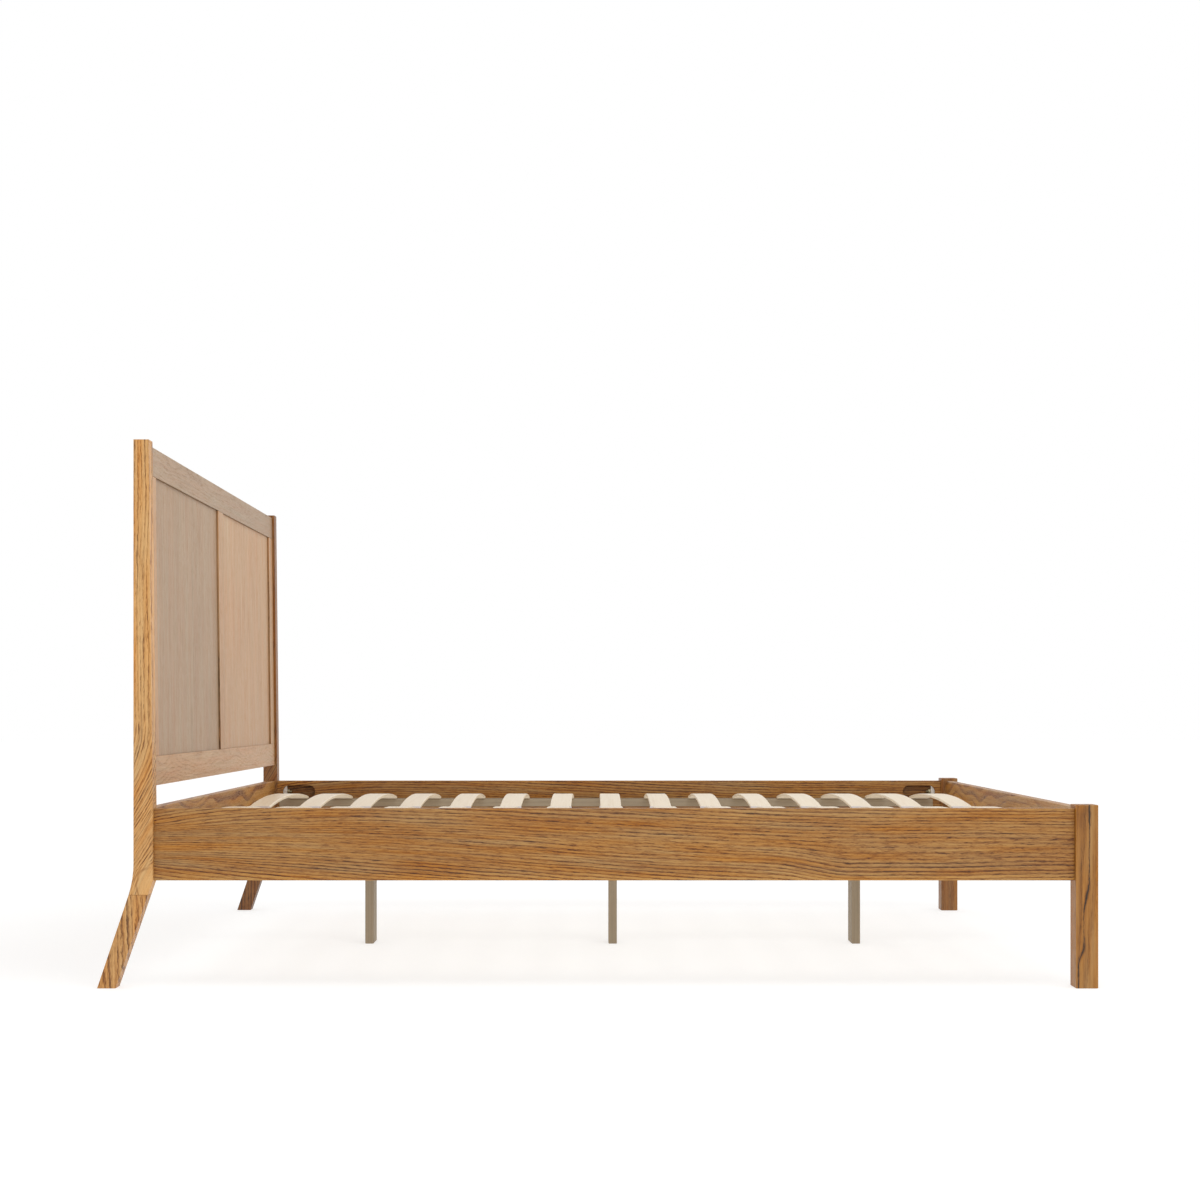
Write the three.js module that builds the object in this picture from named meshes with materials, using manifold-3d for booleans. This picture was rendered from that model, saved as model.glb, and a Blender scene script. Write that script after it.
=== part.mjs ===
// Wooden bed frame for a 1500 x 2000 mm mattress: a two-panel headboard on raked legs, a low foot
// end, bolted side rails, and two rows of bowed slats that meet on a centre rail.
//
// Millimetres. +X runs from head to foot, +Y across the bed, +Z up. The origin is on the floor, in
// the middle of the frame's outline. "left" pieces have y < 0 and "right" pieces have y > 0.
import * as THREE from 'three';
import { mergeVertices } from 'three/addons/utils/BufferGeometryUtils.js';
import Module from 'manifold-3d';

const wasm = await Module();
wasm.setup();

// ---- Driving dimensions ---------------------------------------------------------------------

const LENGTH = 2188;              // heel of the head legs to the outer faces of the foot posts
const WIDTH = 1600;               // over the foot posts
const HEAD_HEIGHT = 1200;
const FOOT_HEIGHT = 401;
const GAP = 0.3;                  // kept between neighbouring pieces

// Rails: side rails, foot rail and head cross rail share one section and one level.
const RAIL_HEIGHT = 158;
const RAIL_THICK = 24;
const RAIL_TOP = 393;
const RAIL_MIDDLE = RAIL_TOP - RAIL_HEIGHT / 2;

// Foot posts are square. The rails meet them on their centre lines.
const FOOT_POST = 49;
const FOOT_POST_X = (LENGTH - FOOT_POST) / 2;
const SIDE_Y = (WIDTH - FOOT_POST) / 2;

// Head posts: straight back, front leaning back above the rails, leg raked out below them.
const HEAD_POST_THICK = 36;
const HEAD_POST_Y = 780;
const HEAD_POST_INNER_Y = HEAD_POST_Y - HEAD_POST_THICK / 2;
const HEAD_BACK_X = -1014.5;
const HEAD_FRONT_X = -972.5;
const HEAD_TOP_SETBACK = 9;       // the front face leans back this far at the top
const LEAN_START_Z = 400;
const HEEL_X = -LENGTH / 2;
const TOE_X = HEEL_X + 40;
const LEG_SLOPE = 0.337;          // how far the back of the leg moves out for each unit down
const HEEL_BEND = 38;             // half the length of the curve between post and leg

// Headboard: a frame of rails and stiles around two flat panels, leaning with the posts.
const LEAN = Math.atan(HEAD_TOP_SETBACK / (HEAD_HEIGHT - LEAN_START_Z));
const FRAME_SETBACK = 7;          // from the posts' front faces
const FRAME_THICK = 24;
const FRAME_BOTTOM = 41;          // heights above LEAN_START_Z, along the lean
const BOTTOM_RAIL_HEIGHT = 65;
const FRAME_TOP = 792;
const TOP_RAIL_HEIGHT = 64;
const SIDE_STILE_WIDTH = 57;
const CENTRE_STILE_WIDTH = 62;
const PANEL_THICK = 9;
const PANEL_SETBACK = 5;
const TONGUE = 8;                 // panel edges and stile ends reach this far into the grooves

// Tenons at the ends of the cross pieces.
const TENON_LENGTH = 18;
const TENON_THICK = 10;
const FRAME_TENON_HEIGHT = 42;
const RAIL_TENON_HEIGHT = 72;     // low enough to pass under the studs of the side rails

// Slats, their centre rail, its legs, and the ledgers along the side rails.
const BEARING_TOP = 341;
const LEDGER_WIDTH = 75;
const LEDGER_HEIGHT = 22;
const LEDGER_HEAD_X = -954;
const LEDGER_FOOT_X = 1008;
const CENTRE_RAIL_WIDTH = 70;
const CENTRE_RAIL_HEIGHT = 32;
const CENTRE_TENON = { length: 10, width: 50, height: 16 };
const CENTRE_LEG_THICK = 22;
const CENTRE_LEG_WIDTH = 70;
const CENTRE_LEG_X = 40;
const CENTRE_LEG_PITCH = 633.4;
const CENTRE_LEGS = 3;
const SLATS_PER_ROW = 15;
const SLAT_PITCH = 132.8;
const SLAT_ROW_X = 35.5;
const SLAT_WIDTH = 56;
const SLAT_THICK = 8;
const SLAT_BOW = 20.5;
const SLAT_INNER_Y = 5;
const SLAT_LENGTH = 696;

// Rail joints: a stud from the post runs through the rail's end into a pocket, where a half-moon
// washer fills the rounded end.
const POCKET_LENGTH = 98;
const POCKET_HEIGHT = 39;
const POCKET_DEPTH = 19.5;
const POCKET_FROM_END = 17;
const JOINT_Z = RAIL_TOP - 33;
const STUD_RADIUS = 4;
const STUD_LENGTH = 72;
const STUD_IN_POST = 29;
const WASHER_LENGTH = 12;
const WASHER_THICK = 14;
const ROUND_SIDES = 16;

// ---- Materials ------------------------------------------------------------------------------

const oak = new THREE.MeshStandardMaterial({ color: '#b98b58', roughness: 0.55, metalness: 0 });
const paleOak = new THREE.MeshStandardMaterial({ color: '#c9a27a', roughness: 0.5, metalness: 0 });
const birch = new THREE.MeshStandardMaterial({ color: '#e7dac7', roughness: 0.5, metalness: 0 });
const taupe = new THREE.MeshStandardMaterial({ color: '#9c8a72', roughness: 0.7, metalness: 0 });
const steel = new THREE.MeshStandardMaterial({ color: '#c9c2ae', roughness: 0.35, metalness: 1 });
const zinc = new THREE.MeshStandardMaterial({ color: '#dcd9d4', roughness: 0.4, metalness: 0.9 });

// ---- Solids ---------------------------------------------------------------------------------

/** The manifold solid of a closed three.js geometry. */
function toSolid(geometry) {
  const bare = geometry.clone();
  bare.deleteAttribute('normal');
  bare.deleteAttribute('uv');
  const merged = mergeVertices(bare, 0.001);
  return new wasm.Manifold(new wasm.Mesh({
    numProp: 3,
    vertProperties: new Float32Array(merged.attributes.position.array),
    triVerts: new Uint32Array(merged.index.array),
  }));
}

/** The three.js geometry of a manifold solid. */
function toGeometry(solid) {
  const result = solid.getMesh();
  const geometry = new THREE.BufferGeometry();
  geometry.setAttribute('position', new THREE.BufferAttribute(result.vertProperties, 3));
  geometry.setIndex(new THREE.BufferAttribute(result.triVerts, 1));
  geometry.computeVertexNormals();
  return geometry;
}

/** One geometry from a base, with some geometries joined on and some cut away. */
function carve(base, { join = [], cut = [] }) {
  let solid = toSolid(base);
  for (const extra of join) {
    solid = solid.add(toSolid(extra));
  }
  for (const tool of cut) {
    solid = solid.subtract(toSolid(tool));
  }
  return toGeometry(solid);
}

/** A block of the given size around the given centre. */
function block([length, width, height], [x, y, z] = [0, 0, 0]) {
  return new THREE.BoxGeometry(length, width, height).translate(x, y, z);
}

/** A rod along X, from x to x + length, on the given axis. */
function rod(radius, length, [x, y, z]) {
  return new THREE.CylinderGeometry(radius, radius, length, ROUND_SIDES)
    .rotateZ(Math.PI / 2)
    .translate(x + length / 2, y, z);
}

/** An outline drawn in X and Z, given a thickness along Y and centred on y = 0. */
function plate(outline, thickness, curveSegments = 12) {
  return new THREE.ExtrudeGeometry(outline, { depth: thickness, bevelEnabled: false, curveSegments })
    .rotateX(Math.PI / 2)
    .translate(0, thickness / 2, 0);
}

function named(name, geometry, material, position = [0, 0, 0]) {
  const mesh = new THREE.Mesh(geometry, material);
  mesh.name = name;
  mesh.position.set(...position);
  return mesh;
}

const sides = [
  { side: 'left', sign: -1 },
  { side: 'right', sign: 1 },
];

// ---- Cross pieces and tenons ----------------------------------------------------------------

/** The tenons at both ends of a cross piece that spans `span` in Y, or the mortises for them. */
function tenons(span, height, x, z, clearance = 0) {
  const root = 1;
  const reach = TENON_LENGTH + root + clearance;
  const size = [TENON_THICK + 2 * clearance, reach, height + 2 * clearance];
  return sides.map(({ sign }) => block(size, [x, sign * (span / 2 - root + reach / 2), z]));
}

/** A board across the bed with a tenon at each end. */
function crossBoard([thickness, span, height], tenonHeight, cut) {
  return carve(block([thickness, span, height]), {
    join: tenons(span, tenonHeight, 0, 0),
    cut,
  });
}

/** The mortise for the centre rail's tenon, in a cross piece whose bearing face is at `faceX`. */
function centreRailMortise(faceX, direction) {
  const depth = CENTRE_TENON.length + GAP;
  const overcut = 1;
  const size = [depth + overcut, CENTRE_TENON.width + 2 * GAP, CENTRE_TENON.height + 2 * GAP];
  const x = faceX + direction * (depth - overcut) / 2;
  return block(size, [x, 0, BEARING_TOP - CENTRE_RAIL_HEIGHT / 2 - RAIL_MIDDLE]);
}

// ---- Head end -------------------------------------------------------------------------------

const headSpan = 2 * (HEAD_POST_INNER_Y - GAP);
const crossRailX = HEAD_FRONT_X - FRAME_SETBACK - RAIL_THICK / 2;
const headboardPlace = new THREE.Matrix4()
  .makeRotationY(-LEAN)
  .setPosition(HEAD_FRONT_X - FRAME_SETBACK, 0, LEAN_START_Z);
const frameX = -FRAME_THICK / 2;
const topRailZ = FRAME_TOP - TOP_RAIL_HEIGHT / 2;
const bottomRailZ = FRAME_BOTTOM + BOTTOM_RAIL_HEIGHT / 2;
const panelX = -PANEL_SETBACK - PANEL_THICK / 2;
const openingHeight = FRAME_TOP - FRAME_BOTTOM - TOP_RAIL_HEIGHT - BOTTOM_RAIL_HEIGHT;
const openingZ = FRAME_BOTTOM + BOTTOM_RAIL_HEIGHT + openingHeight / 2;
const openingWidth = (headSpan - CENTRE_STILE_WIDTH) / 2 - SIDE_STILE_WIDTH;
const panelY = (CENTRE_STILE_WIDTH + openingWidth) / 2;

/** The side view of a head post and its raked leg. */
function headPostOutline() {
  const heelZ = (HEAD_BACK_X - HEEL_X) / LEG_SLOPE;
  const legAngle = Math.atan(LEG_SLOPE);
  const bendX = HEAD_BACK_X - HEEL_BEND * Math.sin(legAngle);
  const bendZ = heelZ - HEEL_BEND * Math.cos(legAngle);
  const outline = new THREE.Shape();
  outline.moveTo(HEEL_X, 0);
  outline.lineTo(TOE_X, 0);
  outline.lineTo(HEAD_FRONT_X, RAIL_TOP - RAIL_HEIGHT);
  outline.lineTo(HEAD_FRONT_X, LEAN_START_Z);
  outline.lineTo(HEAD_FRONT_X - HEAD_TOP_SETBACK, HEAD_HEIGHT);
  outline.lineTo(HEAD_BACK_X, HEAD_HEIGHT);
  outline.lineTo(HEAD_BACK_X, heelZ + HEEL_BEND);
  outline.quadraticCurveTo(HEAD_BACK_X, heelZ, bendX, bendZ);
  return outline;
}

/** A head post, mortised for the headboard and cross rail and bored for the side rail's stud. */
function headPost(sign) {
  const leaning = [
    ...tenons(headSpan, FRAME_TENON_HEIGHT, frameX, topRailZ, GAP),
    ...tenons(headSpan, FRAME_TENON_HEIGHT, frameX, bottomRailZ, GAP),
  ];
  const upright = tenons(headSpan, RAIL_TENON_HEIGHT, crossRailX, RAIL_MIDDLE, GAP);
  const mortises = [...leaning.map((tool) => tool.applyMatrix4(headboardPlace)), ...upright];
  const bore = rod(STUD_RADIUS + GAP, STUD_IN_POST + 2, [
    HEAD_FRONT_X - STUD_IN_POST - 1, sign * (SIDE_Y - HEAD_POST_Y), JOINT_Z,
  ]);
  return carve(plate(headPostOutline(), HEAD_POST_THICK), {
    cut: [...mortises.map((tool) => tool.translate(0, -sign * HEAD_POST_Y, 0)), bore],
  });
}

/** The groove that holds the panels, along the edge of a headboard rail at height z. */
function railGroove(z) {
  const size = [PANEL_THICK + 2 * GAP, headSpan + 2, 2 * (TONGUE + GAP)];
  return block(size, [panelX - frameX, 0, z]);
}

/** An upright of the headboard frame, tongued at both ends and grooved on the given sides. */
function stile(width, grooveSigns) {
  const tongue = block([PANEL_THICK, width, openingHeight + 2 * TONGUE], [panelX - frameX, 0, 0]);
  const grooveSize = [PANEL_THICK + 2 * GAP, 2 * (TONGUE + GAP), openingHeight + 4 * TONGUE];
  return carve(block([FRAME_THICK, width, openingHeight - 2 * GAP]), {
    join: [tongue],
    cut: grooveSigns.map((sign) => block(grooveSize, [panelX - frameX, sign * width / 2, 0])),
  });
}

function headboard() {
  const group = new THREE.Group();
  group.applyMatrix4(headboardPlace);
  const topRail = crossBoard([FRAME_THICK, headSpan, TOP_RAIL_HEIGHT], FRAME_TENON_HEIGHT, [
    railGroove(-TOP_RAIL_HEIGHT / 2),
  ]);
  const bottomRail = crossBoard([FRAME_THICK, headSpan, BOTTOM_RAIL_HEIGHT], FRAME_TENON_HEIGHT, [
    railGroove(BOTTOM_RAIL_HEIGHT / 2),
  ]);
  const centreStile = stile(CENTRE_STILE_WIDTH, [-1, 1]);
  group.add(
    named('headboard_top_rail', topRail, paleOak, [frameX, 0, topRailZ]),
    named('headboard_bottom_rail', bottomRail, paleOak, [frameX, 0, bottomRailZ]),
    named('headboard_centre_stile', centreStile, paleOak, [frameX, 0, openingZ]),
  );
  for (const { side, sign } of sides) {
    const stileY = sign * (headSpan - SIDE_STILE_WIDTH) / 2;
    const sideStile = stile(SIDE_STILE_WIDTH, [-sign]);
    const panel = block([PANEL_THICK, openingWidth + 2 * TONGUE, openingHeight + 2 * TONGUE]);
    group.add(
      named(`headboard_stile_${side}`, sideStile, paleOak, [frameX, stileY, openingZ]),
      named(`headboard_panel_${side}`, panel, paleOak, [panelX, sign * panelY, openingZ]),
    );
  }
  return group;
}

function headEnd() {
  const group = new THREE.Group();
  for (const { side, sign } of sides) {
    group.add(named(`head_post_${side}`, headPost(sign), oak, [0, sign * HEAD_POST_Y, 0]));
  }
  const crossRail = crossBoard([RAIL_THICK, headSpan, RAIL_HEIGHT], RAIL_TENON_HEIGHT, [
    centreRailMortise(RAIL_THICK / 2, -1),
  ]);
  group.add(named('head_cross_rail', crossRail, oak, [crossRailX, 0, RAIL_MIDDLE]), headboard());
  return group;
}

// ---- Foot end -------------------------------------------------------------------------------

const footSpan = WIDTH - 2 * FOOT_POST - 2 * GAP;

/** A foot post, mortised for the foot rail and bored for the side rail's stud. */
function footPost(sign) {
  const mortises = tenons(footSpan, RAIL_TENON_HEIGHT, 0, RAIL_MIDDLE, GAP)
    .map((tool) => tool.translate(0, -sign * SIDE_Y, 0));
  const bore = rod(STUD_RADIUS + GAP, STUD_IN_POST + 2, [-FOOT_POST / 2 - 1, 0, JOINT_Z]);
  return carve(block([FOOT_POST, FOOT_POST, FOOT_HEIGHT], [0, 0, FOOT_HEIGHT / 2]), {
    cut: [...mortises, bore],
  });
}

function footEnd() {
  const group = new THREE.Group();
  for (const { side, sign } of sides) {
    const place = [FOOT_POST_X, sign * SIDE_Y, 0];
    group.add(named(`foot_post_${side}`, footPost(sign), oak, place));
  }
  const rail = crossBoard([RAIL_THICK, footSpan, RAIL_HEIGHT], RAIL_TENON_HEIGHT, [
    centreRailMortise(-RAIL_THICK / 2, 1),
  ]);
  group.add(named('foot_rail', rail, oak, [FOOT_POST_X, 0, RAIL_MIDDLE]));
  return group;
}

// ---- Side rails and their joints ------------------------------------------------------------

const railHeadX = HEAD_FRONT_X + GAP;
const railFootX = FOOT_POST_X - FOOT_POST / 2 - GAP;
const railLength = railFootX - railHeadX;
const pocketRadius = POCKET_HEIGHT / 2;
const jointHeight = JOINT_Z - RAIL_MIDDLE;

/** A rounded pocket near one end of a rail that is centred on the origin, open to its -Y face. */
function pocket(end) {
  const overcut = 1;
  const depth = POCKET_DEPTH + overcut;
  const middle = end * ((railLength - POCKET_LENGTH) / 2 - POCKET_FROM_END);
  const reach = (POCKET_LENGTH - POCKET_HEIGHT) / 2;
  const up = Math.PI / 2;
  const outline = new THREE.Shape();
  outline.absarc(middle + reach, jointHeight, pocketRadius, -up, up, false);
  outline.absarc(middle - reach, jointHeight, pocketRadius, up, 3 * up, false);
  return plate(outline, depth).translate(0, (POCKET_DEPTH - overcut - RAIL_THICK) / 2, 0);
}

/** A side rail centred on the origin, with its pockets in the -Y face. */
function sideRail() {
  const boreLength = POCKET_FROM_END + pocketRadius;
  return carve(block([railLength, RAIL_THICK, RAIL_HEIGHT]), {
    cut: [
      pocket(-1),
      pocket(1),
      rod(STUD_RADIUS + GAP, boreLength, [-railLength / 2 - 1, 0, jointHeight]),
      rod(STUD_RADIUS + GAP, boreLength, [railLength / 2 + 1 - boreLength, 0, jointHeight]),
    ],
  });
}

/** A half-moon washer for the foot end of a rail, its rounded side towards +X. */
function halfMoonWasher() {
  const radius = pocketRadius - GAP;
  const chord = pocketRadius - WASHER_LENGTH;
  const angle = Math.acos(chord / radius);
  const outline = new THREE.Shape();
  outline.absarc(0, 0, radius, -angle, angle, false);
  return carve(plate(outline, WASHER_THICK), {
    cut: [rod(STUD_RADIUS + GAP, 2 * radius, [-radius / 2, 0, 0])],
  });
}

function sideAssembly({ side, sign }) {
  const group = new THREE.Group();
  const rail = named(`side_rail_${side}`, sideRail(), oak, [
    (railHeadX + railFootX) / 2, sign * SIDE_Y, RAIL_MIDDLE,
  ]);
  rail.rotation.z = sign > 0 ? 0 : Math.PI;
  group.add(rail);

  const ledgerLength = LEDGER_FOOT_X - LEDGER_HEAD_X;
  const ledgerY = SIDE_Y - RAIL_THICK / 2 - GAP - LEDGER_WIDTH / 2;
  group.add(named(`slat_ledger_${side}`, block([ledgerLength, LEDGER_WIDTH, LEDGER_HEIGHT]), taupe, [
    (LEDGER_HEAD_X + LEDGER_FOOT_X) / 2, sign * ledgerY, BEARING_TOP - LEDGER_HEIGHT / 2,
  ]));

  const joints = [
    { end: 'head', faceX: HEAD_FRONT_X, inward: 1 },
    { end: 'foot', faceX: FOOT_POST_X - FOOT_POST / 2, inward: -1 },
  ];
  for (const { end, faceX, inward } of joints) {
    const studX = faceX - inward * STUD_IN_POST - (inward < 0 ? STUD_LENGTH : 0);
    const stud = rod(STUD_RADIUS, STUD_LENGTH, [0, 0, 0]);
    group.add(named(`rail_stud_${end}_${side}`, stud, steel, [studX, sign * SIDE_Y, JOINT_Z]));
    const washer = named(`half_moon_washer_${end}_${side}`, halfMoonWasher(), zinc, [
      faceX + inward * (GAP + POCKET_FROM_END + pocketRadius), sign * SIDE_Y, JOINT_Z,
    ]);
    washer.rotation.z = inward < 0 ? 0 : Math.PI;
    group.add(washer);
  }
  return group;
}

// ---- Slatted base ---------------------------------------------------------------------------

/** A bowed slat whose ends rest on z = 0, running from y = 0 to y = SLAT_LENGTH. */
function slat() {
  const halfLength = SLAT_LENGTH / 2;
  const radius = (halfLength ** 2 + SLAT_BOW ** 2) / (2 * SLAT_BOW);
  const halfAngle = Math.asin(halfLength / radius);
  const up = Math.PI / 2;
  const outline = new THREE.Shape();
  outline.absarc(0, 0, radius + SLAT_THICK, up + halfAngle, up - halfAngle, true);
  outline.absarc(0, 0, radius, up - halfAngle, up + halfAngle, false);
  return plate(outline, SLAT_WIDTH, 10)
    .rotateZ(Math.PI / 2)
    .translate(0, halfLength, -radius * Math.cos(halfAngle));
}

function slatRows() {
  const group = new THREE.Group();
  for (const { side, sign } of sides) {
    for (let index = 0; index < SLATS_PER_ROW; index += 1) {
      const x = SLAT_ROW_X + (index - (SLATS_PER_ROW - 1) / 2) * SLAT_PITCH;
      const y = sign > 0 ? SLAT_INNER_Y : -SLAT_INNER_Y - SLAT_LENGTH;
      const number = String(index + 1).padStart(2, '0');
      group.add(named(`slat_${side}_${number}`, slat(), birch, [x, y, BEARING_TOP + GAP]));
    }
  }
  return group;
}

/** The centre rail, with a stub tenon into the head cross rail and another into the foot rail. */
function centreRail(length) {
  const { length: reach, width, height } = CENTRE_TENON;
  return carve(block([length, CENTRE_RAIL_WIDTH, CENTRE_RAIL_HEIGHT]), {
    join: [block([length + 2 * (reach - GAP), width, height])],
  });
}

function centreSupport() {
  const group = new THREE.Group();
  const headX = crossRailX + RAIL_THICK / 2 + GAP;
  const footX = FOOT_POST_X - RAIL_THICK / 2 - GAP;
  const railBottom = BEARING_TOP - CENTRE_RAIL_HEIGHT;
  group.add(named('centre_rail', centreRail(footX - headX), taupe, [
    (headX + footX) / 2, 0, railBottom + CENTRE_RAIL_HEIGHT / 2,
  ]));
  const legHeight = railBottom - GAP;
  for (let index = 0; index < CENTRE_LEGS; index += 1) {
    const x = CENTRE_LEG_X + (index - (CENTRE_LEGS - 1) / 2) * CENTRE_LEG_PITCH;
    const leg = block([CENTRE_LEG_THICK, CENTRE_LEG_WIDTH, legHeight]);
    group.add(named(`centre_leg_${index + 1}`, leg, taupe, [x, 0, legHeight / 2]));
  }
  return group;
}

// ---- The bed frame --------------------------------------------------------------------------

const bedFrame = new THREE.Group();
bedFrame.add(headEnd(), footEnd(), ...sides.map(sideAssembly), centreSupport(), slatRows());

export default bedFrame;
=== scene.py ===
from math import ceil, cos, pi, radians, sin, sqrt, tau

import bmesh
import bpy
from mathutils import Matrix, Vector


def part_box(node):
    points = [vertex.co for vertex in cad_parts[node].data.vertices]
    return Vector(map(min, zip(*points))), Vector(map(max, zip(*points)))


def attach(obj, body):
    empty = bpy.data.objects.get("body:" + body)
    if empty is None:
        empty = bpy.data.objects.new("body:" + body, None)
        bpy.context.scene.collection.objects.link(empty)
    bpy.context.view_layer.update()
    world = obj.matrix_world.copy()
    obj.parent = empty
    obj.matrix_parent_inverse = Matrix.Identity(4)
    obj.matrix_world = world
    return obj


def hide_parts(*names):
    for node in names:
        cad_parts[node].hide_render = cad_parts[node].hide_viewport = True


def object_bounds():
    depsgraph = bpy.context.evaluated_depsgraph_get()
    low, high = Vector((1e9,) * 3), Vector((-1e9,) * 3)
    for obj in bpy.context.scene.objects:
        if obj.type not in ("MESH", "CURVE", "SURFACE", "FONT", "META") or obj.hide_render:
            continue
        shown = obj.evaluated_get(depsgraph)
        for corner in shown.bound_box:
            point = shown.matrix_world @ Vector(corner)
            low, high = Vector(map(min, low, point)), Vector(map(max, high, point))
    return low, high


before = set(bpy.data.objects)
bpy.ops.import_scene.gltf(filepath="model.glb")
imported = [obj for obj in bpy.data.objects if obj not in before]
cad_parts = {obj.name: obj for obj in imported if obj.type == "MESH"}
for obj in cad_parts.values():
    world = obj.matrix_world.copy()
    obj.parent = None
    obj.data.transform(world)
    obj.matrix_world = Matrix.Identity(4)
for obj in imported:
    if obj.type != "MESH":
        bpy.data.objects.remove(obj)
cad_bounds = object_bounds()

# The looks of the wooden bed frame: boards with eased edges and their own oak figure, laminated
# slats in plastic holders, the threaded hardware in the rail pockets, and screws. Units are metres,
# in the frame's own axes: +X from head to foot, +Y across the bed, +Z up.

# ---- Sizes the frame doesn't state ------------------------------------------------------------

EASED_EDGE = 0.0016            # radius on the long edges of solid boards
FINE_EDGE = 0.0008             # radius on the headboard's panels and frame joints
WASHER_EDGE = 0.0005
SHORTEST_EASED = 0.012         # shorter edges, such as the facets of a pocket, stay as they are
MERGE_WITHIN = 1e-5            # corners of a CAD mesh closer than this become one
FLAT_WITHIN = radians(0.3)     # facets that turn less than this become one face
CORNER_ANGLE = radians(35)     # edges that turn more than this are rounded
CREASE_ANGLE = radians(48)     # edges that turn more than this are shaded as sharp
RECESS = 0.001                 # faces further inside a rail than this belong to its pockets, which are painted darker as shade
PANEL_PAINTED_SHADE = 2.6                   # strength of the painted shade on frame faces round the panels, where a pocket's is 1
FACING = 0.9                   # a face points along an axis when its normal has this much of it

SLAT_THICK = 0.008
SLAT_PLY = 0.0016              # thickness of one glued veneer
SLAT_EDGE = 0.0030             # radius of a slat's long edges
SLAT_CORNER = 0.007            # radius of a slat's corners, seen from above
SLAT_SHORT = 0.0012            # how far a laminate stops before each end of its CAD slat
SLAT_STATIONS = 40             # cross-sections along a slat, before those at its corners
SLAT_CROWDING = 0.35           # how much the stations crowd towards the ends, from 0 to 1
CORNER_STATIONS = 8            # close cross-sections where the corners are rounded
CORNER_CLEAR = 1.1             # corner radii at each end that have only the close ones
SIDE_SHARE = 0.7               # how much of the long edges' rounding counts as the side

HOLDER_WALL = 0.0012
HOLDER_REACH = 0.033           # how far a slat goes into its holder
HOLDER_SIDE_GAP = 0.0006
HOLDER_TOP_GAP = 0.0004
HOLDER_LIFT = 0.0002           # between a holder and the centre rail
HOLDER_EDGE = 0.0016           # radius of a holder's upper edges
HOLDER_EDGE_STEPS = 4
HOLDER_LIP = 0.0006            # how much a holder narrows at its mouths
HOLDER_STEP = 0.0002           # from the web's face to the cross-sections on either side of it
HOLDER_STATIONS = 6

THREAD_PITCH = 0.00125
THREAD_DEPTH = 0.00045
THREAD_STATIONS = 4            # cross-sections to a turn of the thread
ROD_SIDES = 16
ROD_CHAMFER = 0.0010
NUT_FLATS = 0.013
NUT_THICK = 0.0065
NUT_SIDES = 36
NUT_CHAMFER = 0.0007           # how far down the corners the chamfer goes
NUT_FACE_INSET = 0.0002        # how much less than the flats the end faces measure
NUT_LEAD = 0.0006              # the countersink of the threaded hole
NUT_GAP = 0.0002               # between a nut and its washer
BORE_GAP = 0.0001              # between a nut's hole and its stud

SCREW_HEAD = 0.0045            # radius of a screw's head
SCREW_SHANK = 0.0022
SCREW_SUNK = 0.0040            # how much of the shank is made
SCREW_PRESS = 0.0002           # how far the head is pressed into the wood
SCREW_SIDES = 48
CROSS_ARM = 0.0022             # the cross recess: half its length, and half the width of an arm
CROSS_HALF_WIDTH = 0.0006
LEDGER_SCREWS = 7
LEDGER_SCREW_PITCH = 0.2946
LEDGER_HEAD = (0.0022, 0.0015)     # height of the head, and depth of its cross
LEG_HEAD = (0.00018, 0.00014)      # the same, for the flat heads under the slat holders
LEG_SCREW_Y = 0.020

LEG_SEAM_Z = 0.204             # the raked leg is glued on below this height
SEAM_HALF = 0.0004
SEAM_WIDTH = 0.0006
SWIRL_PLACE = (-0.014, 0.229)  # from the post's foot-side face, and up from the floor
SWIRL_SIZE = (0.024, 0.034)

# ---- Shader arithmetic ------------------------------------------------------------------------


def srgb(red, green, blue):
    """A colour given as it looks on screen, from 0 to 255, as the linear colour of a shader."""
    channels = [value / 255 for value in (red, green, blue)]
    linear = [c / 12.92 if c <= 0.04045 else ((c + 0.055) / 1.055) ** 2.4 for c in channels]
    return (*linear, 1.0)


def plug(tree, value, socket):
    """Links a field to a socket, or sets the socket to a plain value."""
    if isinstance(value, Field):
        tree.links.new(value.socket, socket)
    else:
        socket.default_value = value


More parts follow.
